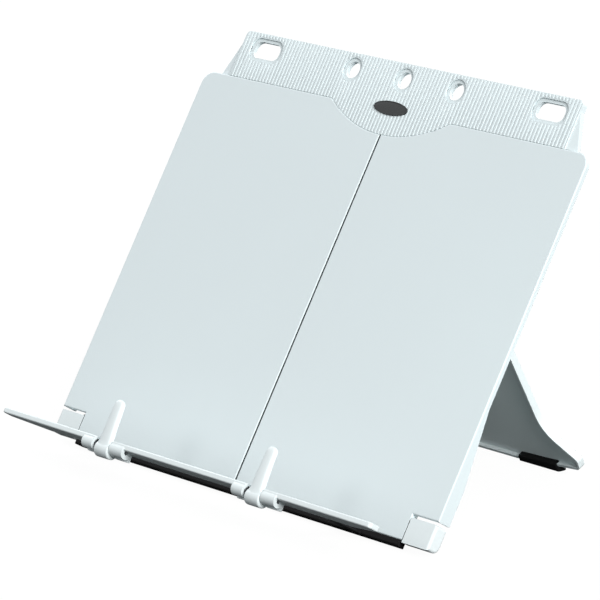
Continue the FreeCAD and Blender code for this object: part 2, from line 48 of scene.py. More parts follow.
# ---- Board panels -----------------------------------------------------------------------
# Two thin sheets of injection moulded polystyrene, side by side with a hair of a gap, each
# with a rolled front edge and a skirt down its outer side. They screw on to the rear frame.
# Every piece below is drawn in millimetres on the board: x to the right, u up the face,
# n out of the face. The board matrix leans it back and stands it on the desk.

MM = 0.001
CLIP_HINGE = Vector((63.0, -9.2, 40.0))     # the right clip's pin, on the board
PLASTIC_IOR = 1.55
FLOW_MM = 60.0             # how far apart the slow changes in colour and gloss are
FLOW_SHADE = 0.975         # of the colour's light, where it is darkest
GLOSS_WANDER = 0.06        # of the roughness, to either side
GRAIN_STRENGTH = 0.5

slide_axis = Vector(joints["ledge_slide"]["axis"])
board_lean = math.atan2(-slide_axis.y, slide_axis.z)
board = Matrix.Rotation(board_lean, 4, "X") @ Matrix.Scale(MM, 4)
clip_pin = Vector(joints["right_clip_hinge"]["pos_m"])
board = Matrix.Translation(clip_pin - board @ CLIP_HINGE) @ board


def linear(colour):
    """An sRGB hex colour as linear red, green, blue and alpha."""
    parts = [int(colour[i:i + 2], 16) / 255 for i in (1, 3, 5)]
    return [p / 12.92 if p <= 0.04045 else ((p + 0.055) / 1.055) ** 2.4 for p in parts] + [1.0]


def add(tree, kind, settings=None, links=None):
    """Adds a node. settings go to its sockets or properties, links join its inputs."""
    node = tree.nodes.new(kind)
    for name, value in (settings or {}).items():
        if isinstance(name, int) or name in node.inputs:
            node.inputs[name].default_value = value
        else:
            setattr(node, name, value)
    for name, source in (links or {}).items():
        tree.links.new(source, node.inputs[name])
    return node


def start_material(name):
    """A new material, its node tree, its shader, and the place on the object for patterns."""
    material = bpy.data.materials.new(name)
    material.use_nodes = True
    tree = material.node_tree
    place = add(tree, "ShaderNodeTexCoord").outputs["Object"]
    return material, tree, tree.nodes["Principled BSDF"], place


def moulded_plastic(name, colour, roughness, grain_mm, grain_height_mm):
    """Injection moulded plastic: one colour right through, a fine grain copied from the
    mould, and a slow wander in the gloss where the melt cooled unevenly."""
    material, tree, shader, place = start_material(name)
    shader.inputs["IOR"].default_value = PLASTIC_IOR
    size = {"Scale": 1 / (FLOW_MM * MM), "Detail": 3.0}
    flow = add(tree, "ShaderNodeTexNoise", size, {"Vector": place})
    size = {"Scale": 1 / (grain_mm * MM), "Detail": 2.0}
    grain = add(tree, "ShaderNodeTexNoise", size, {"Vector": place})
    deep = [c * FLOW_SHADE for c in linear(colour)[:3]] + [1.0]
    tint = add(
        tree,
        "ShaderNodeMix",
        {"data_type": "RGBA", 6: deep, 7: linear(colour)},
        {0: flow.outputs["Fac"]},
    )
    tree.links.new(tint.outputs[2], shader.inputs["Base Color"])
    gloss = add(
        tree,
        "ShaderNodeMapRange",
        {"To Min": roughness - GLOSS_WANDER, "To Max": roughness + GLOSS_WANDER},
        {"Value": flow.outputs["Fac"]},
    )
    tree.links.new(gloss.outputs[0], shader.inputs["Roughness"])
    bump = add(
        tree,
        "ShaderNodeBump",
        {"Strength": GRAIN_STRENGTH, "Distance": grain_height_mm * MM},
        {"Height": grain.outputs["Fac"]},
    )
    tree.links.new(bump.outputs[0], shader.inputs["Normal"])
    return material


def coat(node, material):
    """Gives a CAD piece its material."""
    mesh = nodes[node].data
    if not mesh.materials:
        mesh.materials.append(material)
    for i in range(len(mesh.materials)):
        mesh.materials[i] = material


panel_polystyrene = moulded_plastic("panel_polystyrene_satin", "#DAE4E6", 0.48, 0.8, 0.01)
for node in ("left_panel", "right_panel"):
    coat(node, panel_polystyrene)


# ---- Head plate -------------------------------------------------------------------------
# A second moulding behind the panels, shown above them and in the dip between them. Its
# face is ribbed up and down for grip, with a sunk border round each hole and slot. The
# face and the half-round ribs are drawn here, as a skin on the plate's flat front.

SKIN_FACE = -0.3
SKIN_BACK = -1.02
HEAD_HALF_WIDTH = 136.0
HEAD_TOP = 250.3
HEAD_CORNER = 3.0
PANEL_TOP = 222.0
DIP_DEPTH = 14.5
DIP_HALF_WIDTH = 48.0
DIP_SHOULDER = 6.0
SEAM = 0.05
EDGE_STATIONS = (-HEAD_HALF_WIDTH, -100, -70, *range(-54, 55), 70, 100, HEAD_HALF_WIDTH)
HEAD_CORNER_STEP = 15      # degrees
OPENING_ROW = 240.6
OPENING_CORNER_STEP = 10   # degrees
BORDER_FACE = -1.3         # how far the holes' and slots' borders are sunk, and their back
BORDER_BACK = -2.75
HOLE_RIM = (7.1, 7.1, 7.1)     # half length, half height and corner
HOLE = (5.0, 5.0, 5.0)
SLOT_RIM = (13.2, 6.95, 6.2)
SLOT = (10.6, 5.0, 4.4)
OPENINGS = (               # middle, rim and opening
    (-42.0, HOLE_RIM, HOLE),
    (0.0, HOLE_RIM, HOLE),
    (42.0, HOLE_RIM, HOLE),
    (-115.0, SLOT_RIM, SLOT),
    (115.0, SLOT_RIM, SLOT),
)
RIM_WIDTH = 0.6            # left smooth round each opening
RIBBED_HALF_WIDTH = 135.2
RIB_PITCH = 2.63
RIB_WIDTH = 1.5
RIB_HEIGHT = 0.27
RIB_ROUNDING = RIB_HEIGHT * 0.9
RIB_SEGMENTS = 2
RIB_SHORTEST = 0.8
EDGE_MARGIN = 0.15
CREASE = 40.0              # an edge that bends by more degrees than this is drawn sharp


def put_on(bm, name, body, material, place=board):
    """Makes an object of a bmesh drawn in millimetres, and rides it on a body."""
    bmesh.ops.transform(bm, matrix=place, verts=bm.verts)
    bmesh.ops.recalc_face_normals(bm, faces=bm.faces)
    mesh = bpy.data.meshes.new(name)
    bm.to_mesh(mesh)
    bm.free()
    mesh.shade_smooth()
    mesh.set_sharp_from_angle(angle=math.radians(CREASE))
    mesh.materials.append(material)
    piece = bpy.data.objects.new(name, mesh)
    bpy.context.scene.collection.objects.link(piece)
    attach(piece, body)
    return piece


def start_ring(bm, place, points):
    """A closed loop of edges through the points. The place layer numbers its verts."""
    made = bmesh.ops.create_circle(bm, cap_ends=False, radius=1.0, segments=len(points))["verts"]
    for i, vert in enumerate(made):
        vert[place] = i
        vert.co = points[i]
    return list({edge for vert in made for edge in vert.link_edges})


def extrude_ring(bm, loop):
    """Extrudes a loop where it is. Gives back the new ring's verts and edges."""
    made = bmesh.ops.extrude_edge_only(bm, edges=loop)["geom"]
    verts = [part for part in made if isinstance(part, bmesh.types.BMVert)]
    return verts, [part for part in made if isinstance(part, bmesh.types.BMEdge)]


def pull_ring(bm, place, loop, points):
    """Extrudes a loop, and moves the new ring to the points."""
    verts, edges = extrude_ring(bm, loop)
    for vert in verts:
        vert.co = points[vert[place]]
    return edges


def cap(bm, loop):
    """Closes a loop with one face."""
    bmesh.ops.holes_fill(bm, edges=loop, sides=0)


def round_off(bm, edges, radius, segments):
    """Rounds edges."""
    bmesh.ops.bevel(
        bm,
        geom=edges,
        offset=radius,
        segments=segments,
        affect="EDGES",
        profile=0.5,
        material=-1,
    )


def round_cornered(x, size, n):
    """Points round an opening of this half length, half height and corner."""
    half_length, half_height, corner = size
    points = []
    for quarter in range(4):
        side = 1 if quarter in (0, 3) else -1
        rise = 1 if quarter < 2 else -1
        for i in range(90 // OPENING_CORNER_STEP):
            turn = math.radians(90 * quarter + OPENING_CORNER_STEP * (i + 0.5))
            across = side * (half_length - corner) + corner * math.cos(turn)
            up = rise * (half_height - corner) + corner * math.sin(turn)
            points.append(Vector((x + across, OPENING_ROW + up, n)))
    return points


def panel_edge(x):
    """Height of the panels' top edge, with its dip and the dip's round shoulders."""
    x = abs(x)
    dip_radius = (DIP_HALF_WIDTH ** 2 + DIP_DEPTH ** 2) / (2 * DIP_DEPTH)
    dip_centre = PANEL_TOP - DIP_DEPTH + dip_radius
    shoulder = PANEL_TOP - DIP_SHOULDER
    shoulder_x = math.sqrt((dip_radius + DIP_SHOULDER) ** 2 - (dip_centre - shoulder) ** 2)
    if x >= shoulder_x:
        return PANEL_TOP
    if x > shoulder_x * dip_radius / (dip_radius + DIP_SHOULDER):
        return shoulder + math.sqrt(DIP_SHOULDER ** 2 - (shoulder_x - x) ** 2)
    return dip_centre - math.sqrt(dip_radius ** 2 - x ** 2)


def head_outline(n):
    """Points round the plate's face: along the panels' edge, and back over the top."""
    points = [Vector((x, panel_edge(x) + SEAM, n)) for x in EDGE_STATIONS]
    turns = range(0, 91, HEAD_CORNER_STEP)
    for side, way in ((1, turns), (-1, reversed(turns))):
        for turn in way:
            out = HEAD_CORNER * math.cos(math.radians(turn))
            up = HEAD_CORNER * math.sin(math.radians(turn))
            across = side * (HEAD_HALF_WIDTH - HEAD_CORNER + out)
            points.append(Vector((across, HEAD_TOP - HEAD_CORNER + up, n)))
    return points


def fill_round_openings(bm, edges):
    """Fills a flat loop, and opens each loop that lies inside it. The ring layer numbers
    the verts of each inner loop from 1, and the outer loop's are 0."""
    filled = bmesh.ops.triangle_fill(bm, use_beauty=True, edges=edges)["geom"]
    rings = bm.verts.layers.int["ring"]
    faces = [part for part in filled if isinstance(part, bmesh.types.BMFace)]
    numbers = [{vert[rings] for vert in face.verts} for face in faces]
    inside = [face for face, held in zip(faces, numbers) if len(held) == 1 and 0 not in held]
    bmesh.ops.delete(bm, geom=inside, context="FACES_ONLY")


def rib_breaks(x):
    """Heights where a rib starts and ends, in pairs: it stops short of each opening."""
    breaks = [panel_edge(x) + SEAM]
    for middle, (half_length, half_height, corner), _ in OPENINGS:
        away = abs(x - middle)
        if away < half_length + RIM_WIDTH:
            into_corner = max(0.0, away - (half_length - corner))
            arch = math.sqrt((corner + RIM_WIDTH) ** 2 - into_corner ** 2)
            gap = half_height - corner + arch
            breaks += [OPENING_ROW - gap, OPENING_ROW + gap]
    past_corner = max(0.0, abs(x) - (HEAD_HALF_WIDTH - HEAD_CORNER))
    corner_drop = HEAD_CORNER - math.sqrt(HEAD_CORNER ** 2 - past_corner ** 2)
    return breaks + [HEAD_TOP - EDGE_MARGIN - corner_drop]


def add_ribs(bm):
    """Half-round ribs from the panels' edge up, broken at each opening."""
    count = int(2 * RIBBED_HALF_WIDTH / RIB_PITCH)
    for i in range(count + 1):
        x = (i - count / 2) * RIB_PITCH
        breaks = rib_breaks(x)
        for low, high in zip(breaks[::2], breaks[1::2]):
            if high - low < RIB_SHORTEST:
                continue
            middle = Vector((x, (low + high) / 2, SKIN_FACE))
            size = Vector((RIB_WIDTH, high - low, 2 * RIB_HEIGHT))
            box = Matrix.LocRotScale(middle, None, size)
            made = bmesh.ops.create_cube(bm, size=1.0, matrix=box)
            top = [vert for vert in made["verts"] if vert.co.z > SKIN_FACE]
            edges = {edge for vert in top for edge in vert.link_edges}
            upper = [edge for edge in edges if all(vert in top for vert in edge.verts)]
            round_off(bm, upper, RIB_ROUNDING, RIB_SEGMENTS)


skin_bm = bmesh.new()
place = skin_bm.verts.layers.int.new("place")
ring = skin_bm.verts.layers.int.new("ring")
front_edges = start_ring(skin_bm, place, head_outline(SKIN_FACE))
back_edges = pull_ring(skin_bm, place, front_edges, head_outline(SKIN_BACK))
for number, (x, rim, opening) in enumerate(OPENINGS, 1):
    loop = start_ring(skin_bm, place, round_cornered(x, rim, SKIN_FACE))
    for edge in loop:
        for vert in edge.verts:
            vert[ring] = number
    front_edges = front_edges + loop
    steps = (
        (rim, BORDER_FACE),
        (opening, BORDER_FACE),
        (opening, BORDER_BACK),
        (rim, BORDER_BACK),
        (rim, SKIN_BACK),
    )
    for size, n in steps:
        loop = pull_ring(skin_bm, place, loop, round_cornered(x, size, n))
    back_edges = back_edges + loop
fill_round_openings(skin_bm, front_edges)
fill_round_openings(skin_bm, back_edges)
add_ribs(skin_bm)
put_on(skin_bm, "head_plate_ribs", "stand", panel_polystyrene)
coat("head_plate", panel_polystyrene)


# ---- Panel seams ------------------------------------------------------------------------
# Where the panels meet each other and the rail's blocks, a dark grey strip sits in the gap, a
# little below the faces. It keeps light from showing through, and its dark grey is painted
# shade, the shadow line in each seam.

SEAM_SHADOW_STRIPS = (            # left, right, bottom, top, back and front
    (-0.7, 0.5, -3.9, 207.4, -2.3, -0.42),
    (-137.0, -135.7, -3.9, 9.6, -2.3, -0.32),
    (135.4, 137.2, -3.9, 7.6, -2.3, -0.12),
)
STRIP_ROUNDING = 0.15
STRIP_SEGMENTS = 2
SPECKLE_MM = 0.3


def shadow_strip_material():
    """Dark grey painted shade for the seams' shadow lines: dull, with a fine speckle."""
    material, tree, shader, place = start_material("seam_painted_shadow_grey")
    shader.inputs["Roughness"].default_value = 0.9
    shader.inputs["Specular IOR Level"].default_value = 0.1
    speckle = add(tree, "ShaderNodeTexVoronoi", {"Scale": 1 / (SPECKLE_MM * MM)}, {"Vector": place})
    # the strip's two dark greys are painted shade, the seams' shadow lines, finely speckled
    tint = add(
        tree,
        "ShaderNodeMix",
        {"data_type": "RGBA", 6: linear("#2A3030"), 7: linear("#474F4F")},
        {0: speckle.outputs["Distance"]},
    )
    tree.links.new(tint.outputs[2], shader.inputs["Base Color"])
    return material


strip_bm = bmesh.new()
for left, right, bottom, top, back, front in SEAM_SHADOW_STRIPS:
    middle = Vector(((left + right) / 2, (bottom + top) / 2, (back + front) / 2))
    size = Vector((right - left, top - bottom, front - back))
    box = Matrix.LocRotScale(middle, None, size)
    made = bmesh.ops.create_cube(strip_bm, size=1.0, matrix=box)
    edges = list({edge for vert in made["verts"] for edge in vert.link_edges})
    round_off(strip_bm, edges, STRIP_ROUNDING, STRIP_SEGMENTS)
put_on(strip_bm, "panel_seam_shadow_strips", "stand", shadow_strip_material())


# ---- Badge ------------------------------------------------------------------------------
# A bare oval of glossy dark plastic, pressed on to the ribs in the dip. It has a thin
# raised rim round a slightly crowned field.

BADGE_HALF_LENGTH = 13.4
BADGE_HALF_WIDTH = 4.1
BADGE_ROW = 223.2
BADGE_POINTS = 72
BADGE_STEPS = (            # how far in from the edge, and how high, for each ring
    (0.0, 0.75),
    (0.15, 0.9),
    (0.5, 0.9),
    (0.65, 0.72),
    (1.6, 0.82),
    (3.2, 0.88),
)
BADGE_IOR = 1.5
DUST_MM = 2.0


def glossy_badge():
    """Dark polished plastic: a hard clear reflection over near black."""
    material, tree, shader, place = start_material("badge_gloss_black")
    shader.inputs["IOR"].default_value = BADGE_IOR
    size = {"Scale": 1 / (DUST_MM * MM), "Detail": 4.0}
    dust = add(tree, "ShaderNodeTexNoise", size, {"Vector": place})
    tint = add(
        tree,
        "ShaderNodeMix",
        {"data_type": "RGBA", 6: linear("#15181A"), 7: linear("#1E2224")},
        {0: dust.outputs["Fac"]},
    )
    tree.links.new(tint.outputs[2], shader.inputs["Base Color"])
    rough = {"To Min": 0.22, "To Max": 0.34}
    gloss = add(tree, "ShaderNodeMapRange", rough, {"Value": dust.outputs["Fac"]})
    tree.links.new(gloss.outputs[0], shader.inputs["Roughness"])
    return material


def resize_ring(bm, verts, grow_x, grow_y, height):
    """Scales a level ring about the drawing's middle, and moves it to a height."""
    bmesh.ops.scale(bm, vec=(grow_x, grow_y, 1.0), verts=verts)
    bmesh.ops.translate(bm, vec=(0, 0, height - verts[0].co.z), verts=verts)


badge_bm = bmesh.new()
oval = bmesh.ops.create_circle(badge_bm, cap_ends=True, radius=1.0, segments=BADGE_POINTS)["verts"]
loop = list({edge for vert in oval for edge in vert.link_edges})
bmesh.ops.scale(badge_bm, vec=(BADGE_HALF_LENGTH, BADGE_HALF_WIDTH, 1.0), verts=oval)
inset_before = 0.0
for inset, height in BADGE_STEPS:
    verts, loop = extrude_ring(badge_bm, loop)
    shrink_x = (BADGE_HALF_LENGTH - inset) / (BADGE_HALF_LENGTH - inset_before)
    shrink_y = (BADGE_HALF_WIDTH - inset) / (BADGE_HALF_WIDTH - inset_before)
    resize_ring(badge_bm, verts, shrink_x, shrink_y, height)
    inset_before = inset
cap(badge_bm, loop)
bmesh.ops.translate(badge_bm, vec=(0, BADGE_ROW, SKIN_FACE), verts=badge_bm.verts)
badge = put_on(badge_bm, "badge_oval", "stand", glossy_badge())
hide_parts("badge")


# ---- Rear frame -------------------------------------------------------------------------
# One moulding behind the panels, stiffened by a rim and ribs, with two pairs of lugs for
# the leg's pins. The same plastic as the panels, with a coarser spark-eroded grain.

frame_polystyrene = moulded_plastic("frame_polystyrene_textured", "#DDE4E5", 0.55, 1.2, 0.04)
coat("rear_frame", frame_polystyrene)


# ---- Screws -----------------------------------------------------------------------------
# Zinc plated self-tapping screws. Twelve pan heads with a cross recess hold the panels to
# the rear frame. The rail's and the arms' screws are plain CAD pieces in the same metal.

SCREW_COLUMNS = (-130.0, -20.0, 20.0, 130.0)
SCREW_ROWS = ((-4.5, (22.0, 118.0)), (-6.5, (202.0,)))     # the heads' seat, and heights
SCREW_POINTS = 24
SCREW_HEAD_RADIUS = 3.7
SCREW_HEAD_HEIGHT = 1.6
SCREW_FACE_RADIUS = SCREW_HEAD_RADIUS * 0.72    # of the flat round the recess
SCREW_SHANK_RADIUS = 1.3
SCREW_HEAD_STEPS = (       # radius and depth of each ring under the flat
    (3.45, 0.35),
    (SCREW_HEAD_RADIUS, 0.9),
    (SCREW_HEAD_RADIUS, SCREW_HEAD_HEIGHT),
    (SCREW_SHANK_RADIUS, SCREW_HEAD_HEIGHT),
)
SCREW_TIP = -1.0
RECESS_LENGTH = 2.1
RECESS_WIDTH = 0.45
RECESS_STEPS = ((0.9, 0.8), (0.3, 1.0))     # size against the ring before, and depth
PLATING_DULLNESS = 0.8     # of the colour's light, where it is dullest
PLATING_WANDER = 0.08      # of the roughness, to either side


def bright_metal(name, colour, roughness, streak_mm):
    """Plated or oiled steel: bright, a little milky, with fine drawing marks."""
    material, tree, shader, place = start_material(name)
    shader.inputs["Metallic"].default_value = 1.0
    size = {"Scale": 1 / (streak_mm * MM), "Detail": 4.0}
    cloud = add(tree, "ShaderNodeTexNoise", size, {"Vector": place})
    dull = [c * PLATING_DULLNESS for c in linear(colour)[:3]] + [1.0]
    tint = add(
        tree,
        "ShaderNodeMix",
        {"data_type": "RGBA", 6: dull, 7: linear(colour)},
        {0: cloud.outputs["Fac"]},
    )
    tree.links.new(tint.outputs[2], shader.inputs["Base Color"])
    gloss = add(
        tree,
        "ShaderNodeMapRange",
        {"To Min": roughness - PLATING_WANDER, "To Max": roughness + PLATING_WANDER},
        {"Value": cloud.outputs["Fac"]},
    )
    tree.links.new(gloss.outputs[0], shader.inputs["Roughness"])
    return material


def cross_outline(bm):
    """Verts and edges round the mouth of a cross recess."""
    verts = []
    quarter_outline = (
        (RECESS_WIDTH, RECESS_WIDTH),
        (RECESS_WIDTH, RECESS_LENGTH),
        (-RECESS_WIDTH, RECESS_LENGTH),
    )
    for quarter in range(4):
        turn = Matrix.Rotation(quarter * math.pi / 2, 3, "Z")
        verts += [bm.verts.new(turn @ Vector((a, b, 0))) for a, b in quarter_outline]
    return verts, [bm.edges.new(pair) for pair in zip(verts, verts[1:] + verts[:1])]


def add_cross_head_screws(bm, seat, spots):
    """Pan heads with a cross recess, facing the rear, and their shanks."""
    made = bmesh.ops.create_circle(
        bm, cap_ends=False, radius=SCREW_FACE_RADIUS, segments=SCREW_POINTS
    )
    pattern = made["verts"][:]
    rim_edges = list({edge for vert in pattern for edge in vert.link_edges})
    cross, cross_edges = cross_outline(bm)
    filled = bmesh.ops.triangle_fill(bm, use_beauty=True, edges=rim_edges + cross_edges)["geom"]
    faces = [part for part in filled if isinstance(part, bmesh.types.BMFace)]
    inside = [face for face in faces if all(vert in cross for vert in face.verts)]
    bmesh.ops.delete(bm, geom=inside, context="FACES_ONLY")
    pattern += cross

    loop = cross_edges
    for narrowing, depth in RECESS_STEPS:
        verts, loop = extrude_ring(bm, loop)
        resize_ring(bm, verts, narrowing, narrowing, depth)
        pattern += verts
    cap(bm, loop)
    loop = rim_edges
    for radius, depth in SCREW_HEAD_STEPS:
        verts, loop = extrude_ring(bm, loop)
        grow = radius / verts[0].co.xy.length
        resize_ring(bm, verts, grow, grow, depth)
        pattern += verts
    verts, loop = extrude_ring(bm, loop)
    bmesh.ops.translate(bm, vec=(0, 0, SCREW_TIP - seat), verts=verts)
    pattern += verts
    cap(bm, loop)

    faces = list({face for vert in pattern for face in vert.link_faces})
    edges = list({edge for vert in pattern for edge in vert.link_edges})
    head_top = seat - SCREW_HEAD_HEIGHT
    for x, u in spots[1:]:
        copies = bmesh.ops.duplicate(bm, geom=pattern + edges + faces)["geom"]
        moved = [part for part in copies if isinstance(part, bmesh.types.BMVert)]
        bmesh.ops.translate(bm, vec=(x, u, head_top), verts=moved)
    x, u = spots[0]
    bmesh.ops.translate(bm, vec=(x, u, head_top), verts=pattern)


zinc_steel = bright_metal("screw_steel_zinc_plated", "#C4C6C8", 0.34, 1.5)
screw_bm = bmesh.new()
for seat, rows in SCREW_ROWS:
    add_cross_head_screws(screw_bm, seat, [(x, u) for x in SCREW_COLUMNS for u in rows])
screws = put_on(screw_bm, "panel_screw_set", "stand", zinc_steel)
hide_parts("panel_screws")
for node in ("rail_screws", "arm_screws"):
    coat(node, zinc_steel)


# ---- Hinge and clip pins ----------------------------------------------------------------
# Round steel pins, zinc plated as the screws are. Two carry the leg in the rear frame's
# lugs, and two carry the page clips in the ledge's barrels.

for node in ("left_hinge_pin", "right_hinge_pin", "left_clip_pin", "right_clip_pin"):
    coat(node, zinc_steel)


# ---- Base rail and rubber bar -----------------------------------------------------------
# The rail closes the foot of the board, with a solid block at each corner. A strip of
# black rubber runs along its underside and keeps the stand from sliding.

RUBBER_IOR = 1.52
BLOOM_MM = 9.0
PEBBLE_MM = 0.6
PEBBLE_HEIGHT_MM = 0.05
PEBBLE_STRENGTH = 0.6

rail_polystyrene = moulded_plastic("rail_polystyrene_satin", "#E2EAEB", 0.5, 0.8, 0.01)
coat("base_rail", rail_polystyrene)


def black_rubber(name, colour, chalk_colour):
    """Moulded black rubber: dull, with a faint chalky bloom and a pebbled skin."""
    material, tree, shader, place = start_material(name)
    shader.inputs["IOR"].default_value = RUBBER_IOR
    shader.inputs["Specular IOR Level"].default_value = 0.12
    size = {"Scale": 1 / (BLOOM_MM * MM), "Detail": 6.0}
    bloom = add(tree, "ShaderNodeTexNoise", size, {"Vector": place})
    size = {"Scale": 1 / (PEBBLE_MM * MM), "Detail": 2.0}
    skin = add(tree, "ShaderNodeTexNoise", size, {"Vector": place})
    tint = add(
        tree,
        "ShaderNodeMix",
        {"data_type": "RGBA", 6: linear(colour), 7: linear(chalk_colour)},
        {0: bloom.outputs["Fac"]},
    )
    tree.links.new(tint.outputs[2], shader.inputs["Base Color"])
    rough = {"To Min": 0.6, "To Max": 0.82}
    gloss = add(tree, "ShaderNodeMapRange", rough, {"Value": bloom.outputs["Fac"]})
    tree.links.new(gloss.outputs[0], shader.inputs["Roughness"])
    bump = add(
        tree,
        "ShaderNodeBump",
        {"Strength": PEBBLE_STRENGTH, "Distance": PEBBLE_HEIGHT_MM * MM},
        {"Height": skin.outputs["Fac"]},
    )
    tree.links.new(bump.outputs[0], shader.inputs["Normal"])
    return material


rubber = black_rubber("foot_rubber_black", "#0B0B0C", "#141415")
coat("front_rubber_bar", rubber)


# ---- Slide arms -------------------------------------------------------------------------
# Two flat steel strips, painted black and screwed under the rail. The ledge slides on them,
# with their front ends in two slots inside it.

PEEL_MM = 1.5
PEEL_HEIGHT_MM = 0.02
PEEL_STRENGTH = 0.3


def black_paint(name):
    """Baked black paint on steel: smooth, half gloss, with a faint orange peel."""
    material, tree, shader, place = start_material(name)
    size = {"Scale": 1 / (PEEL_MM * MM), "Detail": 2.0}
    peel = add(tree, "ShaderNodeTexNoise", size, {"Vector": place})
    tint = add(
        tree,
        "ShaderNodeMix",
        {"data_type": "RGBA", 6: linear("#101112"), 7: linear("#17181A")},
        {0: peel.outputs["Fac"]},
    )
    tree.links.new(tint.outputs[2], shader.inputs["Base Color"])
    rough = {"To Min": 0.35, "To Max": 0.5}
    gloss = add(tree, "ShaderNodeMapRange", rough, {"Value": peel.outputs["Fac"]})
    tree.links.new(gloss.outputs[0], shader.inputs["Roughness"])
    bump = add(
        tree,
        "ShaderNodeBump",
        {"Strength": PEEL_STRENGTH, "Distance": PEEL_HEIGHT_MM * MM},
        {"Height": peel.outputs["Fac"]},
    )
    tree.links.new(bump.outputs[0], shader.inputs["Normal"])
    return material


arm_paint = black_paint("arm_steel_black_paint")
for node in ("left_slide_arm", "right_slide_arm"):
    coat(node, arm_paint)


# ---- Ledge ------------------------------------------------------------------------------
# The pull-out shelf: one moulding with a slot for each arm and a barrel on each side of
# each clip. It is of the same plastic as the rail.

coat("ledge", rail_polystyrene)


# ---- Page clips -------------------------------------------------------------------------
# Each clip is one moulding: a round heel between the ledge's barrels, set a little below
# and behind the steel pin that goes through it, and a crowned finger that grows out of the
# heel and tapers to a round tip. The clips are of the rail's plastic.

CLIP_PLACES = (("left_clip", -63.0, 0.0), ("right_clip", 63.0, 1.5))    # x, degrees in
CLIP_HALF_WIDTH = 5.7
CLIP_BORE_RADIUS = 1.55
HEEL_MIDDLE = (-1.8, -0.7)     # below and behind the pin
HEEL_RADIUS = 4.6
HEEL_ROUNDING = 0.9
HEEL_ROUNDING_STEP = 15    # degrees
HEEL_SEGMENTS = 64
FINGER_ROOT = -2.2         # over the pin, as the finger's other heights are
FINGER_BASE = 2.0          # where its taper starts
FINGER_TIP = 26.7
FINGER_TIP_RADIUS = 3.4
FINGER_TIP_TURNS = (15, 30, 45, 60, 72, 82, 88)
FINGER_STATIONS = (
    -1.4, -0.6, 0.2, 1.0, 1.8, 2.4, 3.0, 4.0, 5.5, 7.5, 10.0, 12.5, 15.0, 17.5, 20.0, 22.0,
)
FINGER_HALF_WIDTH = 4.9
FINGER_TAPER = 1.1
FINGER_FLARE = 0.6         # how much wider it is at its root
FINGER_FLARE_LENGTH = 3.5
FINGER_FRONT = 3.05
FINGER_RISE = 1.0          # how much further out its front is at the tip
FINGER_NECK = 0.3          # and at its root
FINGER_NECK_LENGTH = 1.6
FINGER_THICKNESS = 2.5
FINGER_THINNING = 0.3      # how much thinner it is at the tip
FINGER_OVER_BORE = 0.15    # of plastic between the bore and its back
FINGER_TIP_FRONT = 0.3     # how fast the front and the back close in, round the tip
FINGER_TIP_BACK = 0.2
FINGER_ROUNDING = 1.9
FINGER_ROUNDING_STEP = 15  # degrees
FINGER_BACK_ROUNDING = 0.4
FINGER_BACK_ROUNDING_STEP = 45
FINGER_FRONT_POINTS = 5    # between the front's corners
FINGER_CROWN = 0.5
ROUNDING_SHARE = 0.98      # the most of the half width that a front corner takes
BACK_ROUNDING_SHARE = 0.9
FLANK_SHORTEST = 0.05


def arc(middle_x, middle_n, radius, turns):
    """Points of a round corner, one for each turn in degrees."""
    points = []
    for turn in turns:
        x = middle_x + radius * math.cos(math.radians(turn))
        points.append((x, middle_n + radius * math.sin(math.radians(turn))))
    return points


def finger_ring(height):
    """The finger's D-shaped section at a height over the pin: a crowned front with round
    corners and a flat back."""
    along = min(1.0, max(0.0, (height - FINGER_BASE) / (FINGER_TIP - FINGER_BASE)))
    half_width = FINGER_HALF_WIDTH - FINGER_TAPER * along
    half_width += FINGER_FLARE * math.exp((FINGER_ROOT - height) / FINGER_FLARE_LENGTH)
    front = FINGER_FRONT + FINGER_RISE * along * (2 - along)
    front += FINGER_NECK * math.exp((FINGER_ROOT - height) / FINGER_NECK_LENGTH)
    back = front - FINGER_THICKNESS + FINGER_THINNING * along
    if height < FINGER_BASE:
        back = max(back, CLIP_BORE_RADIUS + FINGER_OVER_BORE)
    crown = FINGER_CROWN
    into_tip = height - (FINGER_TIP - FINGER_TIP_RADIUS)
    if into_tip > 0:
        chord = math.sqrt(max(0.0, FINGER_TIP_RADIUS ** 2 - into_tip ** 2))
        narrowing = FINGER_TIP_RADIUS - chord
        half_width -= narrowing
        front -= FINGER_TIP_FRONT * narrowing
        back += FINGER_TIP_BACK * narrowing
        crown *= 1 - narrowing / FINGER_TIP_RADIUS
    s = min(FINGER_BACK_ROUNDING, half_width * BACK_ROUNDING_SHARE)
    r = min(FINGER_ROUNDING, half_width * ROUNDING_SHARE, front - back - s - FLANK_SHORTEST)
    section = arc(half_width - r, front - r, r, range(0, 91, FINGER_ROUNDING_STEP))
    for i in range(1, FINGER_FRONT_POINTS + 1):
        section.append(((half_width - r) * (1 - 2 * i / (FINGER_FRONT_POINTS + 1)), front))
    section += arc(r - half_width, front - r, r, range(90, 181, FINGER_ROUNDING_STEP))
    section += arc(s - half_width, back + s, s, range(180, 271, FINGER_BACK_ROUNDING_STEP))
    section += arc(half_width - s, back + s, s, range(270, 361, FINGER_BACK_ROUNDING_STEP))
    middle = (front + back) / 2
    points = []
    for x, n in section:
        if n > middle:
            n += crown * (1 - (x / half_width) ** 2)
        points.append(Vector((x, height, n)))
    return points


def add_finger(bm, place):
    """The finger, pulled up ring by ring from inside the heel to its tip."""
    tip_shares = [1 - math.sin(math.radians(turn)) for turn in FINGER_TIP_TURNS]
    tip_stations = [FINGER_TIP - FINGER_TIP_RADIUS * share for share in tip_shares]
    loop = start_ring(bm, place, finger_ring(FINGER_ROOT))
    cap(bm, loop)
    for height in list(FINGER_STATIONS) + tip_stations:
        loop = pull_ring(bm, place, loop, finger_ring(height))
    cap(bm, loop)


def heel_ring(x, radius, middle=HEEL_MIDDLE):
    """A circle across the pin's direction."""
    points = []
    for i in range(HEEL_SEGMENTS):
        turn = 2 * math.pi * i / HEEL_SEGMENTS
        up = middle[0] + radius * math.cos(turn)
        points.append(Vector((x, up, middle[1] + radius * math.sin(turn))))
    return points


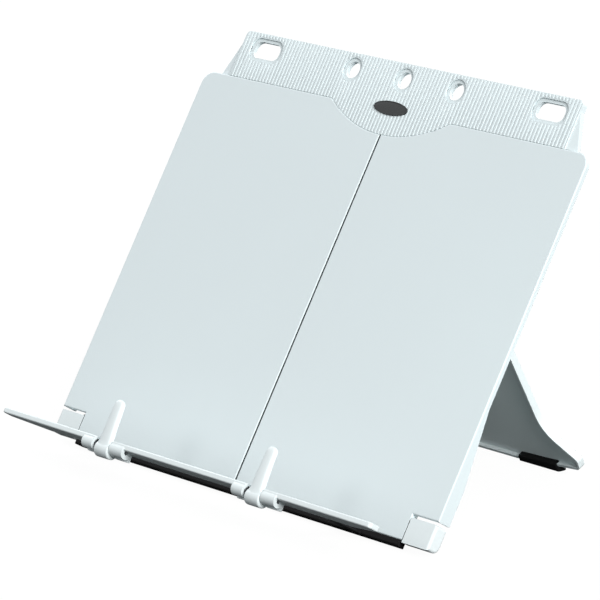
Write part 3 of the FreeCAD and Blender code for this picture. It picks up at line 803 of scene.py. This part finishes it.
def add_heel(bm, place):
    """The round heel with its rounded ends, and the pin's bore through it."""
    first = start_ring(bm, place, heel_ring(-CLIP_HALF_WIDTH, CLIP_BORE_RADIUS, (0, 0)))
    loop = first
    shoulder = CLIP_HALF_WIDTH - HEEL_ROUNDING
    turns = range(0, 91, HEEL_ROUNDING_STEP)
    for side, way in ((-1, reversed(turns)), (1, turns)):
        for turn in way:
            out = HEEL_ROUNDING * math.sin(math.radians(turn))
            radius = HEEL_RADIUS - HEEL_ROUNDING * (1 - math.cos(math.radians(turn)))
            loop = pull_ring(bm, place, loop, heel_ring(side * (shoulder + out), radius))
    loop = pull_ring(bm, place, loop, heel_ring(CLIP_HALF_WIDTH, CLIP_BORE_RADIUS, (0, 0)))
    bmesh.ops.bridge_loops(bm, edges=first + loop)


for node, x, lean_in in CLIP_PLACES:
    clip_bm = bmesh.new()
    place = clip_bm.verts.layers.int.new("place")
    add_finger(clip_bm, place)
    add_heel(clip_bm, place)
    hinge = Matrix.Translation((x, CLIP_HINGE.y, CLIP_HINGE.z))
    hinge = board @ (hinge @ Matrix.Rotation(math.radians(-lean_in), 4, "X"))
    clip = put_on(clip_bm, node + "_moulding", node, rail_polystyrene, hinge)
    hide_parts(node)


# ---- Clip springs -----------------------------------------------------------------------
# A torsion spring of oiled steel wire sits on each pin, in the gap on the clip's left. One
# leg bears on the back of the clip's base and the other on the ledge's underside.

SPRING_MIDDLE = -7.1       # from the clip's middle
SPRING_RADIUS = 2.2
SPRING_WIRE_RADIUS = 0.3
SPRING_WIRE_POINTS = 10
SPRING_PITCH = 0.8
SPRING_TURNS = 2
SPRING_STEPS = 28          # a turn
SPRING_LEG = 2.6


def add_torsion_spring(bm):
    """The coil, wound by a spin that steps along the pin, and a straight leg at each end."""
    made = bmesh.ops.create_circle(
        bm,
        cap_ends=False,
        radius=SPRING_WIRE_RADIUS,
        segments=SPRING_WIRE_POINTS,
        matrix=Matrix.Translation((-SPRING_PITCH * SPRING_TURNS / 2, SPRING_RADIUS, 0)),
    )
    first = list({edge for vert in made["verts"] for edge in vert.link_edges})
    wound = bmesh.ops.spin(
        bm,
        geom=made["verts"] + first,
        cent=(0, 0, 0),
        axis=(1, 0, 0),
        dvec=(SPRING_PITCH / SPRING_STEPS, 0, 0),
        angle=2 * math.pi * SPRING_TURNS,
        steps=SPRING_STEPS * SPRING_TURNS,
    )["geom_last"]
    last = [part for part in wound if isinstance(part, bmesh.types.BMEdge)]
    for loop, way in ((first, -1), (last, 1)):
        verts, end = extrude_ring(bm, loop)
        bmesh.ops.translate(bm, vec=(0, 0, way * SPRING_LEG), verts=verts)
        cap(bm, end)


spring_wire = bright_metal("spring_wire_oiled", "#3C3E41", 0.32, 0.8)
for node, x, _ in CLIP_PLACES:
    spring_bm = bmesh.new()
    add_torsion_spring(spring_bm)
    coil = board @ Matrix.Translation((x + SPRING_MIDDLE, CLIP_HINGE.y, CLIP_HINGE.z))
    spring = put_on(spring_bm, node + "_spring_wire", "ledge", spring_wire, coil)
    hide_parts(node + "_spring")


# ---- Leg --------------------------------------------------------------------------------
# A shallow moulded tray that swings down from the rear frame on two pins, with a flared
# lower edge. It is of the frame's plastic.

coat("leg", frame_polystyrene)


# ---- Leg's feet -------------------------------------------------------------------------
# A moulded rubber pad fills each corner of the leg's tray and wraps its lower edge. Its
# underside is bowed along its length and cut flat where it stands on the desk.

LEG_LEAN = 61.43           # degrees from the desk to the leg
FOOT_OUTLINE = (           # x from the middle and height along the leg, for the right foot
    (51.5, 7.2),
    (50.6, 1.6),
    (56.0, -0.6),
    (62.0, -2.6),
    (75.0, -2.6),
    (82.6, 0.4),
    (82.0, 8.4),
)
FOOT_BACK = 0.3            # inside the leg's sheet
FOOT_FRONT = 5.6
FOOT_ROUNDING = 0.9
FOOT_SEGMENTS = 4
FOOT_LEVEL_WITHIN = 0.001  # an edge that rises by less lies level


def add_foot(bm, place, side, foot_of_leg):
    """The pad as a thick plate with its outline, cut off level with the desk."""
    outline = [Vector((side * x, height, FOOT_BACK)) for x, height in FOOT_OUTLINE]
    loop = start_ring(bm, place, outline)
    cap(bm, loop)
    front = [point + Vector((0, 0, FOOT_FRONT - FOOT_BACK)) for point in outline]
    loop = pull_ring(bm, place, loop, front)
    cap(bm, loop)
    rises = [(edge, abs(edge.verts[0].co.z - edge.verts[1].co.z)) for edge in bm.edges]
    sides = [edge for edge, rise in rises if rise > FOOT_LEVEL_WITHIN]
    round_off(bm, loop + sides, FOOT_ROUNDING, FOOT_SEGMENTS)
    desk = foot_of_leg.inverted()
    cut = bmesh.ops.bisect_plane(
        bm,
        geom=bm.verts[:] + bm.edges[:] + bm.faces[:],
        plane_co=desk @ Vector(),
        plane_no=(desk.to_3x3() @ Vector((0, 0, -1))).normalized(),
        clear_outer=True,
    )
    cap(bm, [part for part in cut["geom_cut"] if isinstance(part, bmesh.types.BMEdge)])


leg_hinge = Vector(joints["leg_hinge"]["pos_m"])
foot_y = leg_hinge.y + leg_hinge.z / math.tan(math.radians(LEG_LEAN))
foot_of_leg = Matrix.Rotation(math.radians(180 - LEG_LEAN), 4, "X")
foot_of_leg = Matrix.Translation((0, foot_y, 0)) @ foot_of_leg
foot_of_leg = foot_of_leg @ Matrix.Scale(MM, 4)
for node, side in (("left_foot", -1), ("right_foot", 1)):
    foot_bm = bmesh.new()
    place = foot_bm.verts.layers.int.new("place")
    add_foot(foot_bm, place, side, foot_of_leg)
    foot = put_on(foot_bm, node + "_pad", "leg", rubber, foot_of_leg)
    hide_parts(node)


# ---- Studio -----------------------------------------------------------------------------
# A white table and background, a large soft lamp from the right, weaker ones in front, on
# the left and behind, and a narrow one into the leg's tray. A camera with a long lens looks
# a little down from the front right.

CAMERA_PLACE = Vector((1.86374, -1.68007, 0.7224))
CAMERA_AZIMUTH = math.radians(48.252)
CAMERA_ELEVATION = math.radians(13.919)
CAMERA_LENS = 281.43
CAMERA_SENSOR = 36.0
CAMERA_CLIP = (0.1, 100.0)
FLOOR_SIZE = 30.0
BACKGROUND = "#FFFFFF"
FILL_COLOUR = "#F4F8FA"
FILL_STRENGTH = 0.46
TABLE_COLOUR = "#4A4C4D"   # as the object and its reflections see it
TABLE_SHADOWED = "#40403F"     # the share of what the camera sees that a shadow darkens
TABLE_GLOW = 0.955         # and the rest of it
LAMP_TARGET = (0, 0, 0.1)
LAMPS = (                  # name, place, size, power and colour
    ("key", (4.31, -1.21, 2.38), 2.4, 284.0, "#FFFFFF"),
    ("front", (-0.45, -0.85, 0.50), 0.35, 1.1, "#FFFFFF"),
    ("left", (-2.2, 0.5, 1.1), 1.2, 28.0, "#F6F9FF"),
    ("rear", (-0.6, 2.4, 1.0), 1.4, 36.0, "#FFFFFF"),
)
KICKER_PLACE = (0.75, -0.30, 0.05)
KICKER_TARGET = (0.09, 0.11, 0.06)
KICKER_POWER = 7.5
KICKER_COLOUR = "#DFF9F7"
KICKER_BEAM = 13           # degrees
KICKER_BLEND = 0.7
KICKER_RADIUS = 0.08


def seen_directly(tree, reflected):
    """1 for rays from the camera or through glass, and 0 for the rest. Where reflected is
    true, the reflections count too."""
    path = add(tree, "ShaderNodeLightPath")
    seen = path.outputs["Is Camera Ray"]
    for output in ("Is Transmission Ray",) + (("Is Glossy Ray",) if reflected else ()):
        either = {0: seen, 1: path.outputs[output]}
        seen = add(tree, "ShaderNodeMath", {"operation": "MAXIMUM"}, either).outputs[0]
    return seen


def add_lamp(name, kind, place, target, power, colour):
    """A lamp at a place, turned to a target."""
    lamp = bpy.data.lights.new(name, kind)
    lamp.energy = power
    lamp.color = linear(colour)[:3]
    holder = bpy.data.objects.new(name, lamp)
    bpy.context.scene.collection.objects.link(holder)
    holder.location = place
    towards = Vector(target) - Vector(place)
    holder.rotation_euler = towards.to_track_quat("-Z", "Y").to_euler()
    return lamp


world = bpy.data.worlds.new("studio")
bpy.context.scene.world = world
world.use_nodes = True
tree = world.node_tree
tree.nodes.clear()
fill = add(tree, "ShaderNodeBackground", {"Color": linear(FILL_COLOUR), "Strength": FILL_STRENGTH})
backdrop = add(tree, "ShaderNodeBackground", {"Color": linear(BACKGROUND), "Strength": 1.0})
choice = add(
    tree,
    "ShaderNodeMixShader",
    None,
    {0: seen_directly(tree, True), 1: fill.outputs[0], 2: backdrop.outputs[0]},
)
add(tree, "ShaderNodeOutputWorld", None, {"Surface": choice.outputs[0]})

table_paint = bpy.data.materials.new("table_white")
table_paint.use_nodes = True
tree = table_paint.node_tree
tree.nodes.clear()
matt = add(tree, "ShaderNodeBsdfDiffuse", {"Color": linear(TABLE_COLOUR)})
faint = add(tree, "ShaderNodeBsdfDiffuse", {"Color": linear(TABLE_SHADOWED)})
glow = add(tree, "ShaderNodeEmission", {"Color": linear(BACKGROUND), "Strength": TABLE_GLOW})
bright = add(tree, "ShaderNodeAddShader", None, {0: faint.outputs[0], 1: glow.outputs[0]})
choice = add(
    tree,
    "ShaderNodeMixShader",
    None,
    {0: seen_directly(tree, False), 1: matt.outputs[0], 2: bright.outputs[0]},
)
add(tree, "ShaderNodeOutputMaterial", None, {"Surface": choice.outputs[0]})

floor_bm = bmesh.new()
bmesh.ops.create_grid(floor_bm, x_segments=1, y_segments=1, size=FLOOR_SIZE / 2)
floor_mesh = bpy.data.meshes.new("table")
floor_bm.to_mesh(floor_mesh)
floor_bm.free()
floor_mesh.materials.append(table_paint)
table = bpy.data.objects.new("table", floor_mesh)
bpy.context.scene.collection.objects.link(table)

for name, place, size, power, colour in LAMPS:
    lamp = add_lamp(name, "AREA", place, LAMP_TARGET, power, colour)
    lamp.shape = "DISK"
    lamp.size = size

kicker = add_lamp("leg_kicker", "SPOT", KICKER_PLACE, KICKER_TARGET, KICKER_POWER, KICKER_COLOUR)
kicker.spot_size = math.radians(KICKER_BEAM)
kicker.spot_blend = KICKER_BLEND
kicker.shadow_soft_size = KICKER_RADIUS

lens = bpy.data.cameras.new("camera")
lens.lens = CAMERA_LENS
lens.sensor_width = CAMERA_SENSOR
lens.clip_start, lens.clip_end = CAMERA_CLIP
camera = bpy.data.objects.new("camera", lens)
bpy.context.scene.collection.objects.link(camera)
camera.location = CAMERA_PLACE
towards = Vector((
    -math.sin(CAMERA_AZIMUTH) * math.cos(CAMERA_ELEVATION),
    math.cos(CAMERA_AZIMUTH) * math.cos(CAMERA_ELEVATION),
    -math.sin(CAMERA_ELEVATION),
))
camera.rotation_euler = towards.to_track_quat("-Z", "Y").to_euler()
bpy.context.scene.camera = camera

bpy.context.scene.view_settings.view_transform = "Standard"
